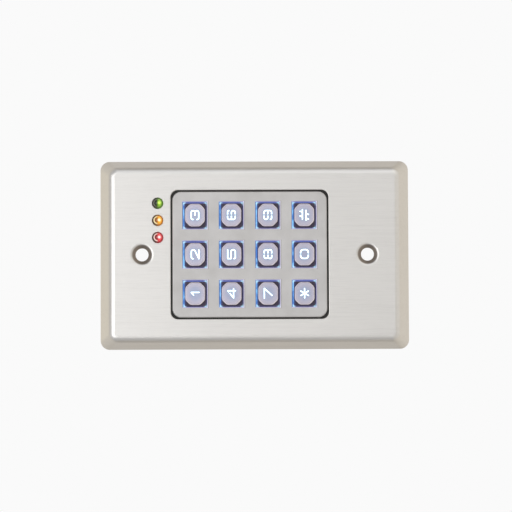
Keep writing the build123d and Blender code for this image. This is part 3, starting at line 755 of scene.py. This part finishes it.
@dataclass(frozen=True)
class LampEpoxy(Finish):
    """Tinted lamp epoxy, unlit, with painted light: a painted shaded upper side, a painted bright
    crescent on the upper rim and a painted glint.
    """

    roughness: float = 0.08
    extras: tuple[tuple[str, Any], ...] = (
        ("Coat Weight", 0.6),
        ("Coat Roughness", 0.03),
        ("IOR", 1.52),
    )
    centre: Flat = (0.0, 0.0)
    radius: float = 1.5
    rim_front: float = 5.1
    # painted shade, painted lit colour, painted glint and painted rim crescent
    shade: Colour = (0.01, 0.05, 0.0)
    lit: Colour = (0.5, 0.8, 0.1)
    painted_glint: Colour = (1.0, 1.0, 0.9)
    ring: Colour = (0.9, 0.8, 0.5)

    def dress(self, bench: Bench) -> dict[str, Any]:
        """Painted light in bands round the lamp's axis: brighter towards its lower side, a painted
        crescent on the upper rim, a painted dark outline, a painted glint and painted shade on the
        flange's upper side.
        """
        place = bench.place()
        x, y, z = bench.parts(place)
        across = (x - self.centre[0]) / self.radius
        up = (z - self.centre[1]) / self.radius
        reach = (across ** 2 + up ** 2).root()
        haze = bench.grain(place, 1.4, 2.0, 0.5)
        # painted shade: the flange darkens towards its upper side
        flange = (0 - y).ramp(self.rim_front + 0.15, self.rim_front)
        # painted glint below the middle
        painted_glint = (across ** 2 + (up + 0.42) ** 2).root().ramp(0.5, 0.16)
        # painted light: brighter towards the lower side
        lit = (up + haze * 0.5 - 0.25).ramp(0.35, -0.55)
        # painted highlight: a bright crescent on the upper rim
        ring = reach.ramp(0.68, 0.78) * up.ramp(-0.2, 0.25)
        # painted shade: a dark outline round the edge
        edge = reach.ramp(0.93, 1.0)
        base = bench.layers(
            self.shade,
            (lit, self.colour),
            (ring, self.ring),
            (edge * 0.8, self.shade),
            (flange, bench.mix(up.ramp(-0.3, 0.9), self.colour, (0.1, 0.07, 0.05))),
        )
        glow = bench.layers(
            BLACK,
            (lit, self.lit),
            (ring * 0.7, self.ring),
            (edge * 0.75, BLACK),
            (painted_glint, self.painted_glint),
            (flange * up.ramp(-0.6, 0.6), BLACK),
        )
        return {
            "Base Color": base,
            "Roughness": haze * 0.05 + (self.roughness - 0.02),
            "Emission Color": glow,
        }


@dataclass(frozen=True)
class CanAluminium(Finish):
    """Drawn cans on a black foot."""

    board: float = 11.3
    foot: float = 1.0

    def dress(self, bench: Bench) -> dict[str, Any]:
        """Drawing lines round the can, and its black foot."""
        place = bench.place()
        _, y, _ = bench.parts(place)
        above = y - self.board
        lines = bench.grain(place, (0.5, 14.0, 0.5), 3.0, 0.6)
        blotch = bench.grain(place, 0.7, 2.0, 0.5)
        foot = above.ramp(self.foot, self.foot - 0.15)
        worn = lines * 0.35 + blotch * 0.15
        base = bench.layers(self.colour, (worn, (0.5, 0.5, 0.52)), (foot, (0.02, 0.02, 0.022)))
        return {
            "Base Color": base,
            "Metallic": 1 - foot,
            "Roughness": lines * 0.15 + (self.roughness - 0.07) + foot * 0.25,
            "Normal": bench.bump(lines, 0.01, 0.4),
        }


# ---- mesh making


def rounded_loop(
    width: float, height: float, radius: float, corner_steps: int = 8, side_steps: int = 6
) -> list[Flat]:
    """Points round a rectangle with round corners, counter-clockwise from the right side.

    Args:
        width: The size along X.
        height: The size along Z.
        radius: The corner radius.
        corner_steps: Spans in each corner.
        side_steps: Spans along each side.

    Returns:
        The points. Two loops with the same steps match point for point.
    """
    signs = ((1, 1), (-1, 1), (-1, -1), (1, -1))

    def on_corner(corner: int, quarters: float) -> Vector:
        """The point of a corner's arc that lies some quarter turns round from +X."""
        angle = quarters * math.pi / 2
        sign_x, sign_z = signs[corner % 4]
        x = sign_x * (width / 2 - radius) + radius * math.cos(angle)
        return Vector((x, sign_z * (height / 2 - radius) + radius * math.sin(angle)))

    loop = []
    for corner in range(4):
        arc = [on_corner(corner, corner + i / corner_steps) for i in range(corner_steps + 1)]
        start = on_corner(corner + 1, corner + 1)
        side = [arc[-1].lerp(start, i / side_steps) for i in range(1, side_steps)]
        loop += [(point.x, point.y) for point in arc + side]
    return loop


class MeshPiece:
    """A mesh under construction, whose points are given in the frame's own axes."""

    def __init__(self, name: str) -> None:
        """Starts an empty mesh.

        Args:
            name: The piece's name.
        """
        self.name = name
        self.mesh = bmesh.new()

    def ring(self, points: Iterable[Point]) -> list[bmesh.types.BMVert]:
        """Adds points and hands back their vertices."""
        return [self.mesh.verts.new(p) for p in points]

    def skin(self, rings: Sequence[Sequence[bmesh.types.BMVert]]) -> None:
        """Joins rings of equal length with faces, and the last ring to the first."""
        count = len(rings[0])
        for first, second in zip(rings, (*rings[1:], rings[0])):
            for i in range(count):
                j = (i + 1) % count
                self.mesh.faces.new((first[i], first[j], second[j], second[i]))

    def turn(self, x: float, z: float, profile: Sequence[Flat], steps: int = 24) -> None:
        """Turns a profile about an axis along Y.

        Args:
            x: The axis's place along X.
            z: The axis's place along Z.
            profile: Radius and Y of each point. A first or last radius of 0 closes it.
            steps: Spans round the axis.
        """
        angles = [2 * math.pi * i / steps for i in range(steps)]
        rings = []
        for radius, y in profile:
            used = angles if radius else angles[:1]
            rings.append(
                self.ring((x + radius * math.cos(a), y, z + radius * math.sin(a)) for a in used)
            )
        for first, second in zip(rings, rings[1:]):
            for i in range(steps):
                j = (i + 1) % steps
                if len(first) == 1:
                    face = (first[0], second[i], second[j])
                elif len(second) == 1:
                    face = (second[0], first[i], first[j])
                else:
                    face = (first[i], first[j], second[j], second[i])
                self.mesh.faces.new(face)

    def finish(
        self,
        body: str,
        finish: Finish,
        slot: str,
        *stands_for: str,
    ) -> bpy.types.Object:
        """Turns the mesh into a piece of the object.

        Args:
            body: The body that it rides on.
            finish: Its finish.
            slot: The record's material slot that the finish comes from; not used.
            *stands_for: CAD nodes that it replaces.

        Returns:
            The new object.
        """
        bmesh.ops.recalc_face_normals(self.mesh, faces=self.mesh.faces)
        data = bpy.data.meshes.new(self.name)
        self.mesh.to_mesh(data)
        self.mesh.free()
        piece = put(self.name, data)
        data.materials.append(finish.material())
        data.shade_smooth()
        data.set_sharp_from_angle(angle=math.radians(SMOOTH_BELOW))
        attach(piece, body)
        if stands_for:
            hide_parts(*stands_for)
        log.info("%s: %d faces on %s", self.name, len(data.polygons), body)
        return piece


def put(name: str, data: bpy.types.ID) -> bpy.types.Object:
    """Puts a new object into the scene."""
    made = bpy.data.objects.new(name, data)
    bpy.context.scene.collection.objects.link(made)
    return made


def dress_node(node: str, finish: Finish) -> None:
    """Gives a CAD node a finish.

    Args:
        node: The node's name.
        finish: The finish.
    """
    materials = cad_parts[node].data.materials
    materials.clear()
    materials.append(finish.material())
    log.info("%s: %s", node, finish.name)


def middle(node: str) -> Vector:
    """The middle of a CAD node's box."""
    low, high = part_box(node)
    return (low + high) / 2


# ---- shared finishes


def plated(name: str, colour: Colour, roughness: float, second: Colour) -> Textured:
    """A plated or tinned metal that drifts towards a second tone."""
    return Textured(name, colour, roughness, 1.0, skin=Skin.PLATED, second=second)


BLACK_PLASTIC = Textured(
    "black_plastic", (0.022, 0.022, 0.024), 0.5, second=(0.06, 0.06, 0.062), per_mm=6.0
)
TIN = plated("bright_tin", (0.76, 0.76, 0.75), 0.26, (0.6, 0.6, 0.58))
ZINC = plated("bright_zinc", (0.66, 0.67, 0.68), 0.3, (0.5, 0.5, 0.44))
SOLDER = plated("solder", (0.68, 0.68, 0.66), 0.3, (0.5, 0.5, 0.48))
SOLDER_MASK = BoardMask("solder_mask", (0.012, 0.13, 0.055), 0.32)


# ---- sub-assemblies


@dataclass
class WallPlate:
    """Pressed steel plate with its studs, nuts and the foam that seals it to the wall."""

    side_slope: float = 0.6
    end_slope: float = 0.709
    foam_depth: float = 3.0 * MM
    foam_inner_width: float = 60.75 * MM
    foam_inner_height: float = 104.5 * MM
    foam_corner: float = 3.0 * MM
    foam_clear: float = 0.12 * MM
    foam_round: float = 0.45 * MM
    steel: Finish = BrushedSteel(
        "brushed_stainless", (0.8, 0.79, 0.77), roughness=0.36, metallic=1.0
    )
    stud: Finish = Textured(
        "welded_stud", (0.6, 0.6, 0.59), 0.34, 1.0, skin=Skin.TURNED, second=(0.38, 0.36, 0.33)
    )
    foam: Finish = Textured(
        "closed_cell_foam",
        (0.035, 0.035, 0.038),
        0.92,
        skin=Skin.FOAM,
        second=(0.09, 0.09, 0.095),
        per_mm=2.6,
        depth_mm=0.12,
    )

    def build(self) -> None:
        """Dresses the metal and makes the foam."""
        dress_node("faceplate", self.steel)
        dress_node("plate_studs", self.stud)
        for node in ("frame_nuts", "web_screws"):
            dress_node(node, ZINC)
        self._foam_strip()

    def _foam_strip(self) -> None:
        """The foam ring: squeezed flat on the wall side, soft-edged and uneven within."""
        low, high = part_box("wall_seal")
        outer_width, outer_height = high.x - low.x, high.z - low.z
        soft, clear = self.foam_round, self.foam_clear
        heights = (0.0, self.foam_depth / 2, self.foam_depth - soft, self.foam_depth)
        piece = MeshPiece("foam_strip")
        sections = []
        for height in heights:
            inset = clear + (soft * 0.6 if height == self.foam_depth else 0)
            width = outer_width - 2 * (self.side_slope * height + inset)
            length = outer_height - 2 * (self.end_slope * height + inset)
            sections.append((width, length, height))
        for height in reversed(heights):
            bulge = soft * 0.5 * math.sin(math.pi * min(height / self.foam_depth, 1))
            inset = -soft * 0.7 if height == self.foam_depth else bulge
            width, length = self.foam_inner_width, self.foam_inner_height
            sections.append((width - 2 * inset, length - 2 * inset, height))
        made = []
        for width, length, height in sections:
            loop = rounded_loop(width, length, self.foam_corner)
            made.append(piece.ring((x, -self._uneven(x, z, height), z) for x, z in loop))
        piece.skin(made)
        piece.finish("root", self.foam, "foam_seal", "wall_seal")

    def _uneven(self, x: float, z: float, height: float) -> float:
        """A height that wanders a little, as die-cut foam does, but not at the wall."""
        wander = noise.noise(Vector((x, 0, z)) * 180) * 0.12 * MM
        return max(height + (wander - 0.12 * MM if height else 0), 0)


@dataclass
class Keypad:
    """The cast frame, its seal, twelve keys, the mat under them and the keypad board."""

    key_gap: float = 0.48
    dome_keep: float = 0.52
    mat_front: float = 0.7 * MM
    mat_back: float = -0.1 * MM
    dome_radius: float = 3.5 * MM
    dome_top_radius: float = 2.2 * MM
    dome_front: float = 2.7 * MM
    dome_skin: float = 0.5 * MM
    pill_radius: float = 1.5 * MM
    pill_back: float = 0.85 * MM
    grid: KeyGrid = field(init=False)

    def __post_init__(self) -> None:
        """Works out the keys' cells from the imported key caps."""
        one, two, four = (middle(f"key_cap_{k}") for k in ("1", "2", "4"))
        low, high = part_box("key_cap_1")
        self.grid = KeyGrid(
            column_pitch=(two.x - one.x) / MM,
            row_pitch=(one.z - four.z) / MM,
            row_start=one.z / MM,
            half_width=(high.x - low.x) / MM / 2 + self.key_gap,
            half_height=(high.z - low.z) / MM / 2 + self.key_gap,
        )

    def build(self) -> None:
        """Dresses the frame, seal, keys and board, and makes the mat."""
        casting = SatinCasting(
            "satin_casting", (0.665, 0.66, 0.66), 0.42, 0.35, grid=self.grid
        )
        cap = KeyCapMetal("key_metal", (0.62, 0.6, 0.72), 0.34, 0.9, grid=self.grid)
        guide = LightGuide("light_guide", (0.8, 0.92, 1.0), 0.3, grid=self.grid)
        rubber = Textured(
            "black_rubber", (0.018, 0.017, 0.016), 0.6, second=(0.05, 0.045, 0.04), per_mm=5.0
        )
        gold = plated("gold_plate", (0.83, 0.62, 0.22), 0.25, (0.7, 0.45, 0.15))
        backlight = Textured(
            "backlight_chip",
            (0.9, 0.93, 1.0),
            0.3,
            extras=(("Emission Color", (0.5, 0.8, 1.0)), ("Emission Strength", 2.0)),
        )
        dress_node("keypad_frame", casting)
        dress_node("keypad_seal", rubber)
        for symbol in KEY_SYMBOLS:
            dress_node(f"key_cap_{symbol}", cap)
            dress_node(f"key_lens_{symbol}", guide)
        dress_node("keypad_board", SOLDER_MASK)
        dress_node("contact_pads", gold)
        dress_node("backlights", backlight)
        self._mat()

    def _mat(self) -> None:
        """The silicone sheet, and a dome for each key."""
        silicone = Textured(
            "milky_silicone",
            (0.72, 0.74, 0.76),
            0.45,
            second=(0.6, 0.62, 0.66),
            extras=(("Subsurface Weight", 0.3), ("Subsurface Scale", 0.0015)),
        )
        low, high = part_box("key_mat")
        sheet = MeshPiece("mat_sheet")
        steps = 32
        for symbol in KEY_SYMBOLS:
            spot = middle(f"key_cap_{symbol}")
            half_x = self.grid.column_pitch * MM / 2
            half_z = self.grid.row_pitch * MM / 2
            left, right = max(spot.x - half_x, low.x), min(spot.x + half_x, high.x)
            foot, head = max(spot.z - half_z, low.z), min(spot.z + half_z, high.z)
            if abs(spot.x) > half_x:
                left, right = (low.x, right) if spot.x < 0 else (left, high.x)
            inner, outer = [], []
            for i in range(steps):
                angle = 2 * math.pi * (i + 0.5) / steps
                way = Vector((math.cos(angle), math.sin(angle)))
                inner.append(
                    (spot.x + way.x * self.dome_radius, spot.z + way.y * self.dome_radius)
                )
                reach_x = ((right - spot.x) if way.x > 0 else (left - spot.x)) / way.x
                reach_z = ((head - spot.z) if way.y > 0 else (foot - spot.z)) / way.y
                reach = min(reach_x, reach_z)
                outer.append((spot.x + way.x * reach, spot.z + way.y * reach))
            back, front = self.mat_back, self.mat_front
            section = ((inner, back), (outer, back), (outer, front), (inner, front))
            sheet.skin([sheet.ring((x, -h, z) for x, z in loop) for loop, h in section])
            self._dome(symbol, spot, silicone)
        sheet.finish("root", silicone, "silicone", "key_mat")

    def _dome(self, symbol: str, spot: Vector, silicone: Finish) -> None:
        """One spring dome with its carbon pill.

        Args:
            symbol: The key's name.
            spot: The key's middle.
            silicone: The mat's finish.
        """
        skin, top = self.dome_skin, self.dome_front
        rise = top - self.mat_front
        outside = [
            (self.dome_radius, self.mat_front),
            (self.dome_radius - 0.25 * MM, self.mat_front + rise * 0.3),
            (self.dome_top_radius + 0.45 * MM, self.mat_front + rise * 0.75),
            (self.dome_top_radius + 0.1 * MM, top - 0.1 * MM),
            (self.dome_top_radius - 0.1 * MM, top),
            (0.0, top),
        ]
        inside = [
            (0.0, self.pill_back),
            (self.pill_radius, self.pill_back),
            (self.pill_radius, top - 2 * skin),
            (self.dome_top_radius - skin * 0.4, top - 2 * skin),
            (self.dome_radius - skin - 0.2 * MM, self.mat_front + rise * 0.25),
            (self.dome_radius - skin, self.mat_front),
            (self.dome_radius, self.mat_front),
        ]
        dome = MeshPiece(f"mat_dome_{symbol}")
        dome.turn(spot.x, spot.z, [(r, -h) for r, h in outside], 32)
        dome.turn(spot.x, spot.z, [(r, -h) for r, h in inside], 32)
        bmesh.ops.remove_doubles(dome.mesh, verts=dome.mesh.verts, dist=1e-6)
        piece = dome.finish("root", silicone, "silicone", "key_mat")
        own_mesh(piece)


@dataclass
class StatusLamps:
    """Three 3 mm lamps in a black holder, on leads from the keypad board."""

    # each lamp's shade, lit, ring and glint colours are painted light and shade
    lamps: tuple[LampEpoxy, ...] = (
        LampEpoxy(
            "green_epoxy",
            colour=(0.1, 0.26, 0.01),
            shade=(0.008, 0.014, 0.003),
            lit=(0.24, 0.45, 0.01),
            ring=(0.02, 0.03, 0.005),
            painted_glint=(0.75, 0.95, 0.15),
        ),
        LampEpoxy(
            "amber_epoxy",
            colour=(0.7, 0.26, 0.005),
            shade=(0.35, 0.1, 0.002),
            lit=(0.85, 0.38, 0.005),
            ring=(0.8, 0.65, 0.3),
            painted_glint=(1.0, 0.97, 0.75),
        ),
        LampEpoxy(
            "red_epoxy",
            colour=(0.55, 0.02, 0.03),
            shade=(0.3, 0.006, 0.01),
            lit=(0.72, 0.05, 0.06),
            ring=(0.75, 0.5, 0.45),
            painted_glint=(1.0, 0.95, 0.92),
        ),
    )

    def build(self) -> None:
        """Dresses the lamps, their holder and leads."""
        for lamp in self.lamps:
            node = "led_" + lamp.name.removesuffix("_epoxy")
            spot = middle(node)
            dress_node(node, replace(lamp, centre=(spot.x / MM, spot.z / MM)))
        dress_node("lamp_holder", BLACK_PLASTIC)
        dress_node("lamp_leads", TIN)


@dataclass
class ControlBoard:
    """The control board behind the keypad, its fixings and everything soldered to it."""

    solder_radius: float = 0.85 * MM
    solder_rise: float = 0.9 * MM
    terminal_ways: int = 10
    header_pins: int = 12
    header_pitch: float = 2.54 * MM

    def build(self) -> None:
        """Dresses the board's parts and adds the solder."""
        brass = Textured(
            "nickel_brass", (0.74, 0.62, 0.38), 0.28, 1.0, skin=Skin.TURNED, second=(0.6, 0.5, 0.3)
        )
        epoxy = Textured(
            "chip_epoxy", (0.028, 0.028, 0.03), 0.55, second=(0.07, 0.07, 0.07), per_mm=7.0
        )
        nylon = Textured(
            "green_nylon", (0.03, 0.28, 0.12), 0.42, second=(0.02, 0.18, 0.08), per_mm=3.0
        )
        blue = Textured(
            "relay_case", (0.03, 0.12, 0.42), 0.3, second=(0.02, 0.08, 0.3), per_mm=2.0
        )
        can = CanAluminium("drawn_can", (0.72, 0.73, 0.74), 0.3, 1.0)
        finishes: dict[Finish, tuple[str, ...]] = {
            SOLDER_MASK: ("control_board",),
            brass: ("standoffs",),
            ZINC: ("control_board_screws", "terminal_screws"),
            BLACK_PLASTIC: ("header_socket", "header_strip", "buzzer"),
            TIN: ("header_pins", "terminal_clamps", "microcontroller_leads", "regulator_tab"),
            epoxy: ("microcontroller", "voltage_regulator", "diodes", "chip_resistors"),
            nylon: ("terminal_block",),
            blue: ("relay",),
            can: ("electrolytic_capacitors", "crystal"),
        }
        for finish, nodes in finishes.items():
            for node in nodes:
                dress_node(node, finish)
        self._solder()

    def _solder(self) -> None:
        """Solder cones where pins and leads come through the boards."""
        board_low, board_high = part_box("control_board")
        pins = middle("header_pins")
        _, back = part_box("keypad_board")
        low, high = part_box("terminal_block")
        first = pins.x - (self.header_pins - 1) / 2 * self.header_pitch
        header = [(first + i * self.header_pitch, pins.z) for i in range(self.header_pins)]
        lamps = [middle(f"led_{name}") for name in ("red", "amber", "green")]
        half = self.header_pitch / 2
        leads = [(spot.x + side * half, spot.z) for spot in lamps for side in (-1, 1)]
        pitch = (high.x - low.x) / self.terminal_ways
        row = (low.z + high.z) / 2
        terminals = [(low.x + (i + 0.5) * pitch, row) for i in range(self.terminal_ways)]
        for name, spots, y, way, tip in (
            ("header", header, board_high.y, 1, 1.0),
            ("lamp", leads, back.y, 1, 1.0),
            ("terminal", terminals, board_low.y, -1, 0.0),
        ):
            piece = MeshPiece(f"{name}_solder")
            for x, z in spots:
                self._cone(piece, x, z, y, way, tip)
            piece.finish("root", SOLDER, "tinned_metal")

    def _cone(
        self, piece: MeshPiece, x: float, z: float, y: float, way: int, tip: float
    ) -> None:
        """One solder joint, hollow-sided where it climbs a pin.

        Args:
            piece: The mesh that it goes into.
            x: Its place along X.
            z: Its place along Z.
            y: The board face that it stands on.
            way: 1 if it points along +Y, -1 if along -Y.
            tip: 1 for a joint on a long pin, 0 for one that closes over a cut pin.
        """
        shape = ((1.0, 0.0), (0.86, 0.12), (0.66, 0.36), (0.52, 0.66), (0.46, 0.92))
        profile = [
            (self.solder_radius * r, y + way * self.solder_rise * h * (0.5 + 0.5 * tip))
            for r, h in shape
        ]
        profile.append((0.0, profile[-1][1] + way * 0.1 * MM))
        piece.turn(x, z, profile, 20)


# ---- studio


@dataclass(frozen=True)
class SoftLight:
    """One large studio lamp aimed at the middle of the object."""

    name: str
    place: Point
    size: float
    power: float
    colour: Colour = (1.0, 1.0, 1.0)

    def build(self) -> None:
        """Makes the lamp."""
        data = bpy.data.lights.new(self.name, "AREA")
        data.shape = "SQUARE"
        data.size, data.energy, data.color = self.size, self.power, self.colour
        lamp = put(self.name, data)
        lamp.location = self.place
        aim = -Vector(self.place)
        lamp.rotation_mode = "QUATERNION"
        lamp.rotation_quaternion = aim.to_track_quat("-Z", "Y")
        lamp.visible_camera = False


@dataclass
class Studio:
    """Camera, soft lamps, surrounding light and a pale floor far below."""

    lens: float = 200.0
    sensor: float = 36.0
    field_width: float = 190.1 * MM
    aim: Point = (-0.28 * MM, 0.0, -0.5 * MM)
    swing: Point = (-0.06, -1.0, 0.015)
    up: Point = (1.0, 0.0, -0.0042)
    floor_height: float = -0.9
    floor_radius: float = 6.0
    backdrop: Colour = (0.956, 0.956, 0.956)
    front_light: Colour = (0.66, 0.66, 0.667)
    ring_light: Colour = (0.44, 0.44, 0.45)
    side_light: Colour = (0.62, 0.6, 0.58)
    low_light: Colour = (0.2, 0.19, 0.18)
    rear_light: Colour = (0.62, 0.6, 0.585)
    lift_light: Colour = (0.95, 0.9, 0.78)
    lamps: tuple[SoftLight, ...] = (
        SoftLight("key_lamp", (-0.1, -1.35, 0.75), 1.1, 5.6, (1.0, 0.99, 0.98)),
        SoftLight("fill_lamp", (0.9, -1.2, -0.3), 1.2, 2.4, (0.95, 0.97, 1.0)),
        SoftLight("rear_lamp_left", (-0.5, 1.3, 0.6), 0.9, 4.5),
        SoftLight("rear_lamp_right", (0.55, 1.3, 0.1), 0.9, 2.5, (0.97, 0.98, 1.0)),
    )

    def build(self) -> None:
        """Sets up the camera, light and floor."""
        bpy.context.scene.view_settings.view_transform = "Standard"
        self._camera()
        self._surroundings()
        for lamp in self.lamps:
            lamp.build()
        self._floor()

    def _camera(self) -> None:
        """A long lens square to the plate, turned so that the keypad lies on its side."""
        data = bpy.data.cameras.new("camera")
        data.lens, data.sensor_width = self.lens, self.sensor
        data.dof.use_dof = False
        camera = put("camera", data)
        away = self.field_width / 2 / (self.sensor / 2 / self.lens)
        back = Vector(self.swing).normalized()
        right = Vector(self.up).cross(back).normalized()
        turned = Matrix((right, back.cross(right), back)).transposed().to_4x4()
        spot = Vector(self.aim) + back * away
        camera.matrix_world = Matrix.Translation(spot) @ turned
        bpy.context.scene.camera = camera

    def _surroundings(self) -> None:
        """White to the camera; softer and warmer to the sides and rear as light."""
        world = bpy.data.worlds.new("surroundings")
        world.use_nodes = True
        bpy.context.scene.world = world
        bench = Bench(world.node_tree)
        way = bench.node("ShaderNodeTexCoord", output="Generated")
        _, depth, lift = bench.parts(way)
        seen = bench.node("ShaderNodeLightPath", output="Is Camera Ray")
        light = bench.layers(
            self.low_light,
            (lift.ramp(-0.8, 0.9), self.side_light),
            (depth.ramp(-0.15, -0.6), self.ring_light),
            (depth.ramp(-0.78, -0.97), self.front_light),
            (depth.ramp(0.05, 0.5), bench.mix(abs(lift), self.rear_light, self.lift_light)),
            (seen, self.backdrop),
        )
        shader = bench.node("ShaderNodeBackground", {}, {"Color": light})
        bench.node("ShaderNodeOutputWorld", {}, {"Surface": shader})

    def _floor(self) -> None:
        """A wide pale disc well below the object."""
        finish = Textured(
            "pale_floor", (0.9, 0.88, 0.85), 0.8, second=(0.86, 0.84, 0.8), per_mm=0.002
        )
        mesh = bmesh.new()
        bmesh.ops.create_circle(mesh, cap_ends=True, segments=96, radius=self.floor_radius)
        data = bpy.data.meshes.new("floor")
        mesh.to_mesh(data)
        mesh.free()
        floor = put("floor", data)
        floor.location.z = self.floor_height
        data.materials.append(finish.material())


def main() -> None:
    logging.basicConfig(level=logging.INFO, format="%(name)s: %(message)s")
    builders: tuple[tuple[str, Callable[[], None]], ...] = (
        ("studio", Studio().build),
        ("wall plate", WallPlate().build),
        ("keypad", Keypad().build),
        ("status lamps", StatusLamps().build),
        ("control board", ControlBoard().build),
    )
    for name, build in builders:
        build()
        log.info("%s done", name)


if __name__ == "__main__":
    main()
